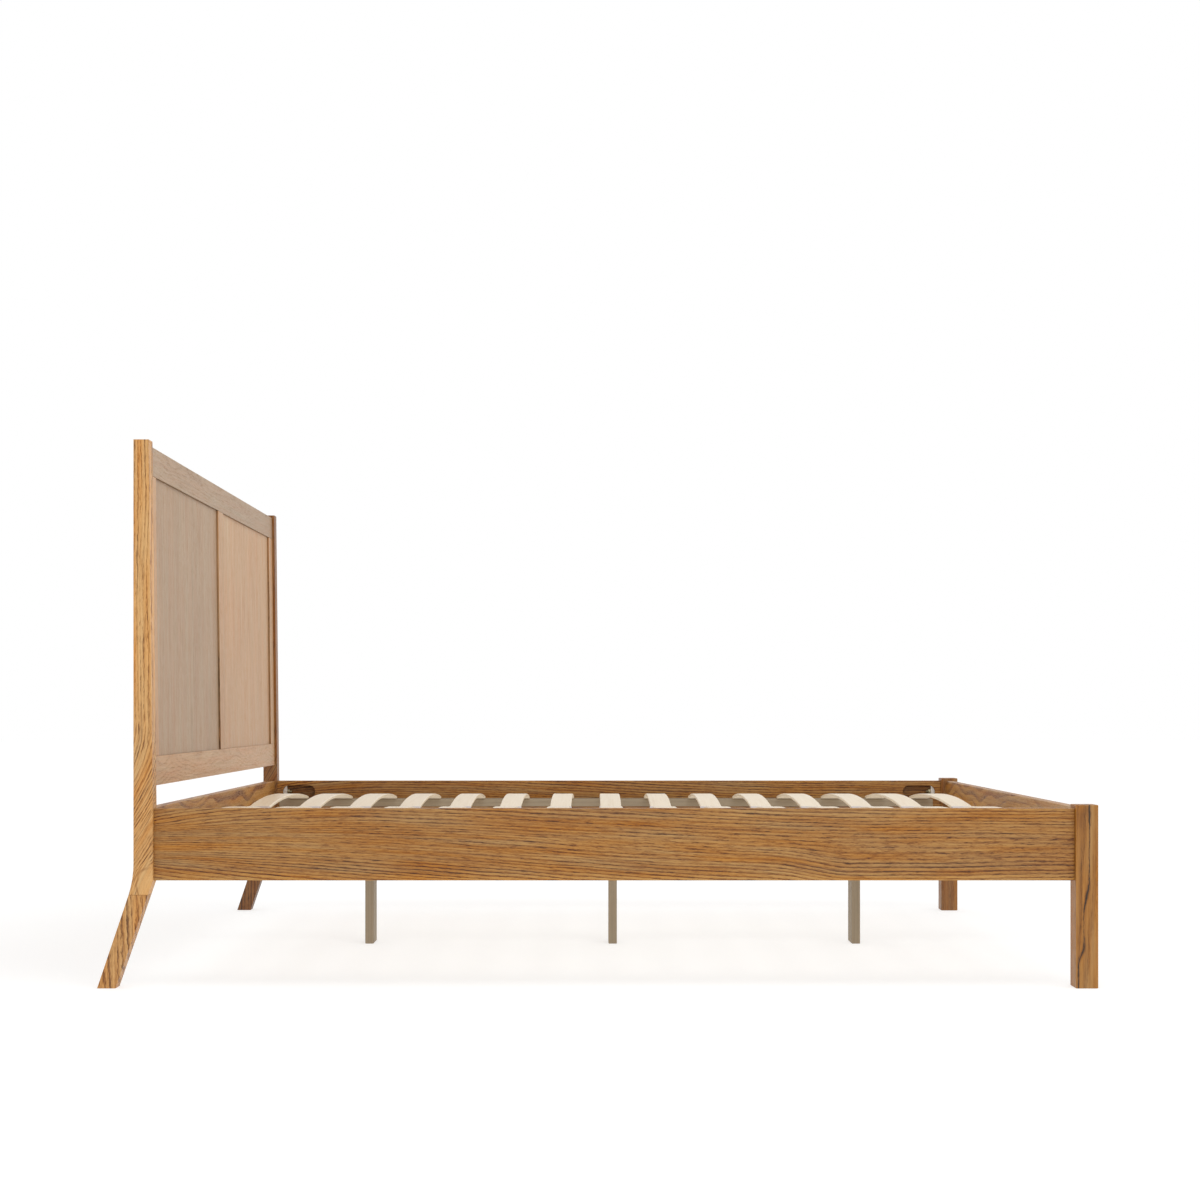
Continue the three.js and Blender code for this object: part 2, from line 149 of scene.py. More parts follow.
class Field:
    """A number that varies over a surface. Arithmetic on it adds the nodes that work it out."""

    def __init__(self, tree, socket):
        self.tree = tree
        self.socket = socket

    def math(self, operation, *others):
        node = self.tree.nodes.new("ShaderNodeMath")
        node.operation = operation
        for value, socket in zip((self, *others), node.inputs):
            plug(self.tree, value, socket)
        return Field(self.tree, node.outputs[0])

    def __add__(self, other):
        return self.math("ADD", other)

    def __sub__(self, other):
        return self.math("SUBTRACT", other)

    def __mul__(self, other):
        return self.math("MULTIPLY", other)

    def __truediv__(self, other):
        return self.math("DIVIDE", other)

    def __neg__(self):
        return self.math("MULTIPLY", -1.0)

    def step(self, low, high, start=0.0, end=1.0):
        """Goes smoothly from start to end as this field goes from low to high."""
        node = self.tree.nodes.new("ShaderNodeMapRange")
        node.interpolation_type = "SMOOTHSTEP"
        for value, socket in zip((self, low, high, start, end), node.inputs):
            plug(self.tree, value, socket)
        return Field(self.tree, node.outputs[0])

    def bell(self, centre, width):
        """1 where this field is at centre, falling to 0 at about two widths from it."""
        off = (self - centre) / width
        return (-(off * off)).math("EXPONENT")

    def choose(self, first, second):
        """first where this field is 0, second where it is 1."""
        return (second - first) * self + first

    def ramp(self, *stops):
        """The colour at this value, between stops of (position, colour)."""
        node = self.tree.nodes.new("ShaderNodeValToRGB")
        elements = node.color_ramp.elements
        while len(elements) < len(stops):
            elements.new(0.5)
        for element, (position, colour) in zip(elements, stops):
            element.position = position
            element.color = colour
        self.tree.links.new(self.socket, node.inputs[0])
        return Field(self.tree, node.outputs[0])

    def tint(self, hue, saturation):
        """This colour with its hue turned and its saturation scaled."""
        node = self.tree.nodes.new("ShaderNodeHueSaturation")
        plug(self.tree, hue + 0.5, node.inputs["Hue"])
        plug(self.tree, saturation, node.inputs["Saturation"])
        self.tree.links.new(self.socket, node.inputs["Color"])
        return Field(self.tree, node.outputs[0])


class Surface:
    """A new material, with the fields that its pattern is made from."""

    def __init__(self, name):
        self.material = bpy.data.materials.new(name)
        self.material.use_nodes = True
        self.tree = self.material.node_tree
        self.shader = self.tree.nodes["Principled BSDF"]

    def place(self, origin=(0.0, 0.0, 0.0)):
        """The X, Y and Z fields of the object's own space, measured from an origin."""
        coordinates = self.tree.nodes.new("ShaderNodeTexCoord")
        split = self.tree.nodes.new("ShaderNodeSeparateXYZ")
        self.tree.links.new(coordinates.outputs["Object"], split.inputs[0])
        return [Field(self.tree, out) - at for out, at in zip(split.outputs, origin)]

    def attribute(self, name):
        node = self.tree.nodes.new("ShaderNodeAttribute")
        node.attribute_name = name
        return Field(self.tree, node.outputs["Fac"])

    def noise(self, place, scales, detail=2.0, roughness=0.5, seed=0.0):
        """Noise from -0.5 to 0.5, with its own number of waves a metre along each axis."""
        join = self.tree.nodes.new("ShaderNodeCombineXYZ")
        for number, (field, scale, socket) in enumerate(zip(place, scales, join.inputs)):
            plug(self.tree, field * scale + (seed * 3.7 + number * 11.3), socket)
        node = self.tree.nodes.new("ShaderNodeTexNoise")
        node.inputs["Scale"].default_value = 1.0
        node.inputs["Detail"].default_value = detail
        node.inputs["Roughness"].default_value = roughness
        self.tree.links.new(join.outputs[0], node.inputs["Vector"])
        return Field(self.tree, node.outputs["Fac"]) - 0.5

    def finish(self, colour, roughness, height, depth):
        """Sets the shader's colour, roughness and bump; height runs from 0 to 1 over the depth."""
        bump = self.tree.nodes.new("ShaderNodeBump")
        bump.inputs["Distance"].default_value = depth
        bump.inputs["Strength"].default_value = 1.0
        plug(self.tree, height, bump.inputs["Height"])
        plug(self.tree, colour, self.shader.inputs["Base Color"])
        plug(self.tree, roughness, self.shader.inputs["Roughness"])
        self.tree.links.new(bump.outputs[0], self.shader.inputs["Normal"])
        return self.material


# ---- Wood -------------------------------------------------------------------------------------

# Tones of oak, each from the palest wood to the deepest pore: for the rails, the left head post,
# both right posts, the left foot post, and three for the headboard. DEEP, for the right posts on
# the far side of the bed, is darker partly as the wood's own tone and partly as painted shade.
BROWN = [srgb(183, 135, 70), srgb(156, 105, 45), srgb(120, 71, 25), srgb(76, 42, 16)]
HONEY = [srgb(222, 174, 112), srgb(200, 148, 86), srgb(156, 104, 50), srgb(104, 64, 30)]
DEEP = [srgb(156, 108, 54), srgb(135, 87, 40), srgb(103, 61, 25), srgb(66, 38, 15)]
AMBER = [srgb(176, 124, 58), srgb(153, 101, 40), srgb(121, 76, 29), srgb(52, 36, 20)]
SHADED_TAN = [srgb(172, 141, 108), srgb(160, 129, 97), srgb(138, 108, 78), srgb(104, 78, 52)]
GREY_TAN = [srgb(170, 139, 107), srgb(157, 127, 96), srgb(138, 109, 80), srgb(72, 54, 38)]
WARM_TAN = [srgb(196, 155, 112), srgb(180, 139, 98), srgb(156, 116, 78), srgb(80, 56, 36)]

BIRCH = [srgb(240, 224, 198), srgb(229, 211, 182), srgb(208, 186, 152), srgb(156, 126, 92)]
STAINED_PINE = [srgb(168, 152, 128), srgb(147, 131, 108), srgb(106, 92, 72)]

BOARD_RINGS = 0.0058           # distance between growth rings
RAIL_RINGS = 0.0076
POST_RINGS = 0.0078
FOOT_RINGS = 0.0075
CROSS_RAIL_RINGS = 0.021
PANEL_RINGS = 0.012
PINE_RINGS = 0.0075
STAINS = ((0.205, 0.030), (0.080, 0.022), (0.385, 0.022))    # height and half-length of each
CORNER_STAIN_X = (-0.013, 0.009)                             # centre and half-width
CORNER_STAIN_Z = (0.372, 0.028)
LACQUER_IOR = 1.45
OAK_RELIEF = 0.00035           # depth of the bump
BIRCH_RELIEF = 0.00015
PINE_RELIEF = 0.0002

# Each board has noise of its own, so that no two have the same figure.
SEEDS = {node: 1.0 + 2.3 * number for number, node in enumerate(sorted(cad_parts))}


def grain_place(surface, centre, along):
    """Fields along the grain, across the board's face and through its depth."""
    x, y, z = surface.place(centre)
    orders = {"X": (x, z, y), "Y": (y, z, x), "Z": (z, x, y)}
    return orders[along]


def wobble(surface, place, seed, wave, bends=(1.1, 7.0, 7.0), ripple=1.0):
    """How far the grain strays from its course: slow bends, waves and a jagged edge."""
    slow = surface.noise(place, bends, detail=1.0, seed=seed)
    medium = surface.noise(place, (7.0, 42.0, 42.0), detail=2.0, seed=seed + 1)
    jagged = surface.noise(place, (70.0, 330.0, 330.0), detail=2.0, seed=seed + 2)
    return slow * wave + medium * (ripple * 0.0065) + jagged * (ripple * 0.0028)


def distance_rings(place, pith):
    """Distance from the tree's pith, which lies across and behind the middle of the board."""
    v = place[1] - pith[0]
    w = place[2] - pith[1]
    return (v * v + w * w).math("SQRT")


def oak_finish(surface, place, growth, spacing, tones, seed, contrast=1.0, pore=1.0, extra=None):
    """Colours oak from its growth: porous dark bands, pores, fibres and blotches. The growth is in
    metres, with a ring to each spacing. The tone runs from 0, pale wood, to 1, the darkest pores,
    and each pattern has a weight in it."""
    light, middle, dark, deep = tones
    uneven = surface.noise((growth, growth, growth), (38.0, 0.3, 0.3), detail=2.0, seed=seed + 8)
    rings = growth / spacing + uneven * 1.6
    phase = rings.math("FRACT")
    line = phase.step(0.0, 0.12) * phase.step(0.12, 0.55, 1.0, 0.0)
    late = phase.step(0.35, 1.0)
    strength = surface.noise((rings.math("FLOOR"), place[0], place[0]), (0.61, 1.3, 1.3), seed=seed)
    line = line * (strength * 2.0 + 0.75)
    fine = surface.noise(place, (48.0, 640.0, 640.0), detail=2.0, roughness=0.65, seed=seed + 3)
    coarse = surface.noise(place, (30.0, 330.0, 330.0), detail=3.0, roughness=0.7, seed=seed + 7)
    pores = fine.step(0.02, 0.13) * 0.62 + coarse.step(0.03, 0.11) * 0.66
    pores = pores * (line * 0.6 + 0.5)
    fibres = surface.noise(place, (5.0, 230.0, 230.0), detail=4.0, roughness=0.65, seed=seed + 4)
    blotches = surface.noise(place, (1.6, 9.0, 9.0), detail=2.0, seed=seed + 5)
    tone = line * contrast * 0.42 - late * 0.06 + fibres * 0.90 + blotches * 0.42 + 0.21
    tone = tone + pores * pore * 0.42
    if extra is not None:
        tone = tone + extra
    # Painted light: rounded edges are lightened as a highlight, and faces in the rail pockets and
    # round the panels are darkened as shade.
    tone = tone - surface.attribute("painted_edge_highlight") * 0.10 + surface.attribute("recess") * 0.16
    streaks = surface.noise(place, (4.0, 60.0, 60.0), detail=2.0, seed=seed + 10)
    colour = tone.ramp((0.0, light), (0.36, middle), (0.70, dark), (1.0, deep))
    colour = colour.tint(streaks * -0.03, streaks * 0.35 + 1.0)
    roughness = pores * 0.22 + fibres * 0.10 + 0.40
    height = fibres * 0.5 - pores - line * 0.25
    surface.shader.inputs["IOR"].default_value = LACQUER_IOR
    return surface.finish(colour, roughness, height, OAK_RELIEF)


def oak(name, node, along, tones, pith=(0.0, 0.09), spacing=BOARD_RINGS, wave=0.030, contrast=1.0,
        pore=1.0, bends=(1.1, 7.0, 7.0), ripple=1.0):
    """Oak for one board, its pith at a place across and behind the board's centre."""
    low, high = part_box(node)
    seed = SEEDS[node]
    surface = Surface(name)
    place = grain_place(surface, (low + high) / 2, along)
    growth = distance_rings(place, pith) + wobble(surface, place, seed, wave, bends, ripple)
    return oak_finish(surface, place, growth, spacing, tones, seed, contrast, pore)


def rail_oak(name, node, tones, bold):
    """Oak for a side rail: lines that fan out from the head end and then fall slowly towards the
    foot, mostly pores along the middle, and a yellower strip of sapwood along the bottom."""
    low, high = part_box(node)
    seed = SEEDS[node]
    surface = Surface(name)
    x, z, y = grain_place(surface, (low + high) / 2, "X")
    near_head = ((x + (high.x - low.x) / 2) / -0.30).math("EXPONENT")
    fan = z.step(-0.005, 0.050) * 0.060 - z.step(0.000, -0.050) * 0.034
    lean = x.step(-1.0, 0.6) * 0.078 + x.step(0.34, 0.52) * z.step(0.030, -0.060) * 0.020
    place = (x, z + near_head * fan + lean, y)
    growth = place[1] + y * 0.5 + wobble(surface, place, seed, 0.022)
    heart = z.bell(0.004, 0.034)
    sapwood = z.step(-0.060, -0.074)
    edge = z.step(-0.020, -0.050)
    contrast = (edge * 0.6 - heart * 0.45 + 1.06) * bold
    return oak_finish(surface, place, growth, RAIL_RINGS, tones, seed, contrast, heart * 0.3 + 1.60,
                      sapwood * -0.20 + 0.02)


def post_oak(name, node, tones):
    """Oak for a head post: rings that run up the post and sweep out at the bend round a pale swirl,
    and a glued-on leg whose rings stand nearly upright."""
    low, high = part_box(node)
    seed = SEEDS[node]
    surface = Surface(name)
    x, y, z = surface.place((high.x, (low.y + high.y) / 2, 0.0))
    leg = z.step(LEG_SEAM_Z + SEAM_HALF, LEG_SEAM_Z - SEAM_HALF)
    post = leg * -1.0 + 1.0
    sweep = z.step(0.12, 0.58) * 0.19
    warp = surface.noise((x, y, z), (34.0, 20.0, 24.0), detail=2.0, seed=seed + 9)
    swirl_x = (x - SWIRL_PLACE[0]) / SWIRL_SIZE[0] + warp * 0.8
    swirl_z = (z - SWIRL_PLACE[1]) / SWIRL_SIZE[1] + warp * 0.6
    swirl = (-(swirl_x * swirl_x + swirl_z * swirl_z)).math("EXPONENT") * post
    upper = x - sweep + swirl * 0.038
    lower = (x + z * 0.02) * 0.78
    across = leg.choose(upper, lower + 0.31)
    place = (z, x - sweep * post, y)
    growth = across + y * 0.35 + wobble(surface, place, seed, 0.026, ripple=1.9)
    outline = swirl.bell(0.42, 0.08) * swirl_x.step(0.40, -0.30) * 0.34
    shade = z.step(0.80, 0.42) * 0.12 + z.step(0.17, 0.03) * 0.10 + leg * 0.06
    extra = z.bell(LEG_SEAM_Z, SEAM_WIDTH) * 0.30 - swirl * 0.16 + outline + shade
    calm = swirl.step(0.10, 0.50, 1.0, 0.0)
    contrast = (leg * 0.35 + z.step(0.50, 0.85) * 0.30 + 0.68) * calm
    return oak_finish(surface, place, growth, POST_RINGS, tones, seed, contrast, calm * 1.2, extra)


def foot_oak(name, node, tones, streaked):
    """Oak for a foot post: quiet upright grain and, where it is streaked, a dark mineral streak
    that wanders over to the head side as it goes down."""
    low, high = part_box(node)
    seed = SEEDS[node]
    surface = Surface(name)
    x, y, z = surface.place(((low.x + high.x) / 2, (low.y + high.y) / 2, 0.0))
    place = (z, x, y)
    growth = distance_rings(place, (0.03, 0.05)) + wobble(surface, place, seed, 0.030)
    course = z.step(0.24, 0.165) * -0.012 + z.step(0.095, 0.045) * -0.013 + 0.005
    wander = surface.noise(place, (14.0, 2.0, 2.0), detail=3.0, seed=seed + 6) * 0.006
    ragged = surface.noise(place, (110.0, 230.0, 30.0), detail=3.0, seed=seed + 7) * 0.0035
    off = (x - course + wander + ragged).math("ABSOLUTE")
    thick = surface.noise((z, z, z), (11.0, 0.1, 0.1), detail=2.0, seed=seed + 8)
    width = (thick + 0.72) * 0.0024
    stain = z.bell(*STAINS[0]) + z.bell(*STAINS[1]) + z.bell(*STAINS[2])
    smear = off.step(0.0066, 0.0010) * stain * 0.60
    corner = x.bell(*CORNER_STAIN_X) * z.bell(*CORNER_STAIN_Z) * 0.34
    # The head side of the post is painted darker as shade.
    shade = x.step(0.012, -0.020) * 0.10
    streak = off.step(width, width * 0.2) * 0.70
    extra = (streak + smear + corner) * streaked + shade - 0.02
    return oak_finish(surface, place, growth, FOOT_RINGS, tones, seed, 0.40, 0.55, extra)


def birch(name):
    """Sealed birch for the laminated slats, with the glued veneers showing along the edges."""
    surface = Surface(name)
    x, y, z = surface.place()
    place = (y, x, z)
    fibres = surface.noise(place, (3.0, 190.0, 90.0), detail=4.0, roughness=0.6, seed=2)
    figure = surface.noise(place, (1.4, 26.0, 9.0), detail=2.0, seed=3)
    flecks = surface.noise(place, (60.0, 420.0, 300.0), detail=1.0, seed=4).step(0.16, 0.24)
    ply = surface.attribute("ply")
    glue = ply.math("FRACT").math("SUBTRACT", 0.5).math("ABSOLUTE").step(0.40, 0.5)
    dark_ply = (ply * 0.5).math("FRACT").step(0.49, 0.51)
    edge = surface.attribute("side")
    tone = fibres * 0.55 + figure * 0.5 + flecks * 0.25 + 0.38
    tone = tone + edge * (glue * 0.30 + dark_ply * 0.10)
    colour = tone.ramp((0.0, BIRCH[0]), (0.45, BIRCH[1]), (0.8, BIRCH[2]), (1.0, BIRCH[3]))
    surface.shader.inputs["Coat Weight"].default_value = 0.15
    surface.shader.inputs["Coat Roughness"].default_value = 0.30
    return surface.finish(colour, fibres * 0.12 + 0.42, fibres - edge * glue, BIRCH_RELIEF)


def plain_wood(name, along, seed):
    """Planed, lightly stained softwood of the ledgers, the centre rail and its legs."""
    surface = Surface(name)
    place = grain_place(surface, (0.0, 0.0, 0.0), along)
    growth = distance_rings(place, (0.05, 0.12)) + wobble(surface, place, seed, 0.020)
    line = (growth / PINE_RINGS).math("FRACT").step(0.55, 0.95)
    fibres = surface.noise(place, (4.0, 160.0, 160.0), detail=4.0, roughness=0.6, seed=seed + 3)
    blotches = surface.noise(place, (1.5, 11.0, 11.0), detail=2.0, seed=seed + 4)
    tone = line * 0.12 + fibres * 0.4 + blotches * 0.5 + 0.34
    colour = tone.ramp((0.0, STAINED_PINE[0]), (0.4, STAINED_PINE[1]), (1.0, STAINED_PINE[2]))
    return surface.finish(colour, fibres * 0.1 + 0.60, fibres - line * 0.3, PINE_RELIEF)


# ---- Metal and plastic ------------------------------------------------------------------------

YELLOW_STEEL = srgb(168, 158, 128)
ZINC = srgb(240, 239, 236)
LIGHT_GREY = [srgb(204, 194, 192), srgb(194, 184, 182)]
DULLED = (0.78, 0.76, 0.72)    # what is left of a metal's red, green and blue where it is dull
METAL_RELIEF = 0.00002
PLASTIC_RELIEF = 0.00006


def metal(name, colour, roughness, seed):
    """Plated steel with faint patches and fine scratches in its shine."""
    surface = Surface(name)
    place = surface.place()
    patches = surface.noise(place, (90.0, 90.0, 90.0), detail=3.0, seed=seed)
    scratches = surface.noise(place, (300.0, 2400.0, 2400.0), detail=1.0, seed=seed + 1)
    surface.shader.inputs["Metallic"].default_value = 1.0
    dull = (*(channel * share for channel, share in zip(colour, DULLED)), 1.0)
    shine = (patches + 0.5).ramp((0.25, colour), (0.85, dull))
    rough = patches * 0.2 + scratches * 0.2 + roughness
    return surface.finish(shine, rough, scratches, METAL_RELIEF)


def plastic(name):
    """Light grey moulded plastic with a fine spark-eroded texture."""
    surface = Surface(name)
    place = surface.place()
    stipple = surface.noise(place, (1500.0, 1500.0, 1500.0), detail=2.0, seed=9)
    cloud = surface.noise(place, (30.0, 30.0, 30.0), detail=2.0, seed=10)
    colour = (cloud + 0.5).ramp((0.2, LIGHT_GREY[0]), (0.8, LIGHT_GREY[1]))
    return surface.finish(colour, stipple * 0.15 + 0.45, stipple, PLASTIC_RELIEF)


# ---- Meshes -----------------------------------------------------------------------------------


def piece(name, mesh, material, slot, *replaced):
    """A finished piece from a bmesh: smooth where it is rounded, and riding on the frame."""
    data = bpy.data.meshes.new(name)
    bmesh.ops.recalc_face_normals(mesh, faces=mesh.faces)
    mesh.to_mesh(data)
    mesh.free()
    data.shade_smooth()
    data.set_sharp_from_angle(angle=CREASE_ANGLE)
    data.materials.append(material)
    made = bpy.data.objects.new(name, data)
    bpy.context.scene.collection.objects.link(made)
    weighted = made.modifiers.new("even_faces", "WEIGHTED_NORMAL")
    weighted.keep_sharp = True
    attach(made, "root")
    if replaced:
        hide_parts(*replaced)
    return made


def faces_panel(node, normal):
    """Whether a face of the headboard's frame is turned towards a panel, where painted shade goes.
    """
    if node == "headboard_top_rail":
        return normal.z < -FACING
    if node == "headboard_bottom_rail":
        return normal.z > FACING
    return "stile" in node and abs(normal.y) > FACING


def eased_board(node, material, slot, width=EASED_EDGE):
    """Stands for a CAD board: the same board with its long outer edges rounded."""
    mesh = bmesh.new()
    mesh.from_mesh(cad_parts[node].data)
    bmesh.ops.remove_doubles(mesh, verts=mesh.verts, dist=MERGE_WITHIN)
    bmesh.ops.dissolve_limit(
        mesh, angle_limit=FLAT_WITHIN, verts=mesh.verts, edges=mesh.edges
    )
    painted_edge_highlight = mesh.faces.layers.float.new("painted_edge_highlight")
    recess = mesh.faces.layers.float.new("recess")
    low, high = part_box(node)
    # Faces in a rail's pockets and frame faces turned towards a panel are marked for painted shade.
    for face in mesh.faces:
        middle = face.calc_center_median()
        inside = [a + RECESS < c < b - RECESS for a, c, b in zip(low, middle, high)]
        face[recess] = 1.0 if all(inside) and node.startswith("side_rail") else 0.0
        if faces_panel(node, face.normal):
            face[recess] = PANEL_PAINTED_SHADE
    outer = [
        edge for edge in mesh.edges
        if edge.is_manifold and edge.is_convex
        and edge.calc_face_angle() > CORNER_ANGLE
        and edge.calc_length() > SHORTEST_EASED
    ]
    rounded = bmesh.ops.bevel(
        mesh, geom=outer, offset=width, segments=3, profile=0.5, affect="EDGES",
        clamp_overlap=True,
    )
    # The rounded faces are marked for a painted highlight, which lightens the oak there.
    for face in rounded["faces"]:
        face[painted_edge_highlight] = 1.0
    return piece(f"{node}_board", mesh, material, slot, node)


def rounded_section(width, thick, radius, steps=4):
    """Points round a rectangle with rounded corners, as (across, up) from its middle."""
    points = []
    for number, (side, up) in enumerate(((1, 1), (-1, 1), (-1, -1), (1, -1))):
        for step in range(steps + 1):
            angle = (number + step / steps) * pi / 2
            points.append((
                side * (width / 2 - radius) + radius * cos(angle),
                up * (thick / 2 - radius) + radius * sin(angle),
            ))
    return points


def slat_rise(along, half_length, bow):
    """Height of the slat's underside above its ends, at a distance along it from the middle."""
    radius = (half_length ** 2 + bow ** 2) / (2 * bow)
    return sqrt(radius ** 2 - along ** 2) - radius + bow


def slat_piece(node, material):
    """Stands for a CAD slat: bowed, with rounded edges and corners. Its vertices say which veneer
    they are in, and whether they are on its sides, where the veneers show."""
    low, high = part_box(node)
    width = high.x - low.x
    half_length = (high.y - low.y) / 2
    bow = high.z - low.z - SLAT_THICK
    middle = (low + high) / 2
    mesh = bmesh.new()
    ply = mesh.verts.layers.float.new("ply")
    side = mesh.verts.layers.float.new("side")
    reach = half_length - SLAT_SHORT
    rings = []
    for step in slat_steps(reach):
        inset = corner_inset(reach - abs(step), SLAT_CORNER)
        squeeze = end_squeeze(reach - abs(step), SLAT_EDGE)
        section = rounded_section(width - 2 * inset, SLAT_THICK * squeeze, SLAT_EDGE * squeeze)
        side_starts = width / 2 - inset - SLAT_EDGE * SIDE_SHARE
        ring = []
        for across, up in section:
            height = slat_rise(step, half_length, bow) + SLAT_THICK / 2 + up
            point = (middle.x + across, middle.y + step, low.z + height)
            vertex = mesh.verts.new(point)
            vertex[ply] = (up + SLAT_THICK / 2) / SLAT_PLY
            vertex[side] = 1.0 if abs(across) > side_starts else 0.0
            ring.append(vertex)
        rings.append(ring)
    bridge(mesh, rings)
    return piece(f"{node}_laminate", mesh, material, "birch", node)


def slat_steps(reach):
    """The stations of a slat from end to end, close together where its corners are rounded."""
    even = [2 * n / SLAT_STATIONS - 1 for n in range(SLAT_STATIONS + 1)]
    crowded = [-cos(pi * n / SLAT_STATIONS) for n in range(SLAT_STATIONS + 1)]
    mixed = [SLAT_CROWDING * c + (1 - SLAT_CROWDING) * e for c, e in zip(crowded, even)]
    inner = [m * reach for m in mixed if abs(m * reach) < reach - SLAT_CORNER * CORNER_CLEAR]
    turns = [n * pi / 2 / CORNER_STATIONS for n in range(CORNER_STATIONS + 1)]
    close = [SLAT_CORNER * (1 - cos(turn)) for turn in turns]
    return [c - reach for c in close] + inner + [reach - c for c in reversed(close)]


def corner_inset(from_end, radius):
    """How far a rounded corner pulls the side in, at a distance from the end."""
    short = radius - min(max(from_end, 0.0), radius)
    return radius - sqrt(radius ** 2 - short ** 2)


def end_squeeze(from_end, radius):
    """The share of the thickness that is left where the end itself is rounded."""
    return 1 - 2 * corner_inset(from_end, radius) / SLAT_THICK


def bridge(mesh, rings):
    """Skins a row of equal rings and caps both ends."""
    count = len(rings[0])
    for first, second in zip(rings, rings[1:]):
        for n in range(count):
            after = (n + 1) % count
            mesh.faces.new((first[n], first[after], second[after], second[n]))
    mesh.faces.new(rings[0][::-1])
    mesh.faces.new(rings[-1])


def upper_edge(x, y, z, start):
    """A quarter turn of a holder's rounded edge, clockwise about its centre from an angle."""
    angles = [start - n * pi / 2 / HOLDER_EDGE_STEPS for n in range(HOLDER_EDGE_STEPS + 1)]
    return [(x + HOLDER_EDGE * cos(a), y, z + HOLDER_EDGE * sin(a)) for a in angles]


def slat_holder(number, material):
    """The moulded holder that joins a left and a right slat on the centre rail."""
    low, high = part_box(f"slat_right_{number}")
    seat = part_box("centre_rail")[1].z + HOLDER_LIFT
    half_length = (high.y - low.y) / 2
    bow = high.z - low.z - SLAT_THICK
    x = (low.x + high.x) / 2
    outer = (high.x - low.x) / 2 + HOLDER_SIDE_GAP + HOLDER_WALL
    inner = outer - HOLDER_WALL
    mouth = low.y + HOLDER_REACH
    web = low.y - HOLDER_SIDE_GAP

    def roof(y):
        """The height of the inside over a slat."""
        along = max(abs(y) - low.y, 0.0) - half_length
        return low.z + slat_rise(along, half_length, bow) + SLAT_THICK + HOLDER_TOP_GAP

    half = [web - HOLDER_STEP, web + HOLDER_STEP]
    half += [web + (mouth - web) * n / HOLDER_STATIONS for n in range(1, HOLDER_STATIONS + 1)]
    mesh = bmesh.new()
    rings = []
    for y in [-y for y in reversed(half)] + half:
        lip = HOLDER_LIP if abs(y) == mouth else 0.0
        top = roof(y) + HOLDER_WALL - lip
        wide = outer - lip
        hollow = roof(y) if abs(y) > web else seat
        ring = [
            (x - wide, y, seat),
            *upper_edge(x - wide + HOLDER_EDGE, y, top - HOLDER_EDGE, pi),
            *upper_edge(x + wide - HOLDER_EDGE, y, top - HOLDER_EDGE, pi / 2),
            (x + wide, y, seat),
            (x + inner, y, seat),
            (x + inner, y, hollow),
            (x - inner, y, hollow),
            (x - inner, y, seat),
        ]
        rings.append([mesh.verts.new(point) for point in ring])
    bridge(mesh, rings)
    return piece(f"slat_holder_{number}", mesh, material, "grey_plastic")


def threaded_rod(node, material):
    """Stands for a CAD stud: the same rod with a cut thread and chamfered ends."""
    low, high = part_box(node)
    radius = (high.z - low.z) / 2
    y = (low.y + high.y) / 2
    z = (low.z + high.z) / 2
    length = high.x - low.x
    count = ceil(length / THREAD_PITCH * THREAD_STATIONS)
    mesh = bmesh.new()
    rings = []
    for step in range(count + 1):
        along = length * step / count
        from_end = min(along, length - along)
        chamfer = max(0.0, ROD_CHAMFER - from_end)
        ring = []
        for side in range(ROD_SIDES):
            angle = tau * side / ROD_SIDES
            turn = (along / THREAD_PITCH - side / ROD_SIDES) % 1.0
            depth = THREAD_DEPTH * abs(2 * turn - 1)
            reach = radius - max(depth, chamfer)
            point = (low.x + along, y + reach * cos(angle), z + reach * sin(angle))
            ring.append(mesh.verts.new(point))
        rings.append(ring)
    bridge(mesh, rings)
    return piece(f"{node}_thread", mesh, material, "steel", node)


def hex_nut(end, side, material):
    """The nut that draws a rail end up to its post, against the half-moon washer."""
    stud_low, stud_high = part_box(f"rail_stud_{end}_{side}")
    washer_low, washer_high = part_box(f"half_moon_washer_{end}_{side}")
    y = (stud_low.y + stud_high.y) / 2
    z = (stud_low.z + stud_high.z) / 2
    start = washer_high.x + NUT_GAP if end == "head" else washer_low.x - NUT_GAP - NUT_THICK
    hole = (stud_high.z - stud_low.z) / 2 + BORE_GAP
    corner = NUT_FLATS / 2 / cos(pi / 6)
    face = NUT_FLATS / 2 - NUT_FACE_INSET
    profile = [
        (0.0, hole + NUT_LEAD), (0.0, face), (NUT_CHAMFER, corner),
        (NUT_THICK - NUT_CHAMFER, corner), (NUT_THICK, face),
        (NUT_THICK, hole + NUT_LEAD), (NUT_THICK - NUT_LEAD, hole), (NUT_LEAD, hole),
    ]
    mesh = bmesh.new()
    rings = []
    for n in range(NUT_SIDES):
        angle = tau * n / NUT_SIDES
        from_flat = (angle % (pi / 3)) - pi / 6
        hexagon = NUT_FLATS / 2 / cos(from_flat)
        ring = []
        for along, reach in profile:
            radius = min(reach, hexagon)
            point = (start + along, y + radius * cos(angle), z + radius * sin(angle))
            ring.append(mesh.verts.new(point))
        rings.append(ring)
    for first, second in zip(rings, rings[1:] + rings[:1]):
        for n in range(len(profile)):
            after = (n + 1) % len(profile)
            mesh.faces.new((first[n], first[after], second[after], second[n]))
    return piece(f"rail_nut_{end}_{side}", mesh, material, "steel")


